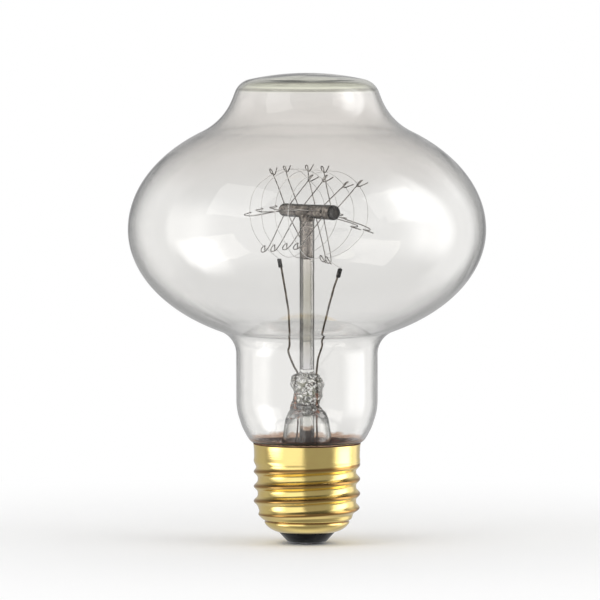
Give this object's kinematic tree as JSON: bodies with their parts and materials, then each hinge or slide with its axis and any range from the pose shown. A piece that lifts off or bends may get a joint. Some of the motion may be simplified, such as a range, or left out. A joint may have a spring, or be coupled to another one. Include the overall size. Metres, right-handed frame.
{
  "type": "incandescent light bulb",
  "caption": "Clear decorative filament lamp with a wide blown bulb, a crown, a long neck, a looped filament on a glass tee and a medium screw base.",
  "frame": {"origin": "centre of the flat tip of the end contact, on the lamp's axis", "axes": "+Z along the lamp's axis from the end contact to the crown; +X to the right and +Y away from the camera in the picture"},
  "size_m": [0.088, 0.088, 0.1156],
  "materials": {
    "clear_glass": "clear and polished, thin",
    "smoky_glass": "brownish glass rod, polished",
    "carbon": "dull grey carbon filament",
    "nickel": "dark satin nickel and molybdenum wire",
    "copper": "copper-clad wire, dull",
    "brass": "rolled sheet, polished",
    "cement": "matt brown basing cement",
    "black_glass": "glossy black moulded insulator",
    "solder": "dull dark solder"
  },
  "bodies": {
    "root": {"envelope_crown": "clear_glass", "envelope_body": "clear_glass", "envelope_neck": "clear_glass", "stem_flare": "clear_glass", "stem_press": "clear_glass", "exhaust_tube": "clear_glass", "arbor_tube": "clear_glass", "tee_bar": "smoky_glass", "filament": "carbon", "lead_in_left": "nickel", "lead_in_right": "nickel", "clamp_left": "nickel", "clamp_right": "nickel", "seal_wire_left": "copper", "seal_wire_right": "copper", "side_lead": "copper", "centre_lead": "copper", "screw_shell": "brass", "basing_cement": "cement", "insulator": "black_glass", "end_contact": "solder", "tip_solder": "solder", "rim_solder": "solder", "anchor_1_1": "nickel", "anchor_1_2": "nickel", "anchor_1_3": "nickel", "anchor_1_4": "nickel", "anchor_1_5": "nickel", "anchor_1_6": "nickel", "anchor_2_1": "nickel", "anchor_2_2": "nickel", "anchor_2_3": "nickel", "anchor_2_4": "nickel", "anchor_2_5": "nickel", "anchor_2_6": "nickel", "anchor_3_1": "nickel", "anchor_3_2": "nickel", "anchor_3_3": "nickel", "anchor_3_4": "nickel", "anchor_3_5": "nickel", "anchor_3_6": "nickel", "anchor_4_1": "nickel", "anchor_4_2": "nickel", "anchor_4_3": "nickel", "anchor_4_4": "nickel", "anchor_4_5": "nickel", "anchor_4_6": "nickel"}
  },
  "joints": []
}
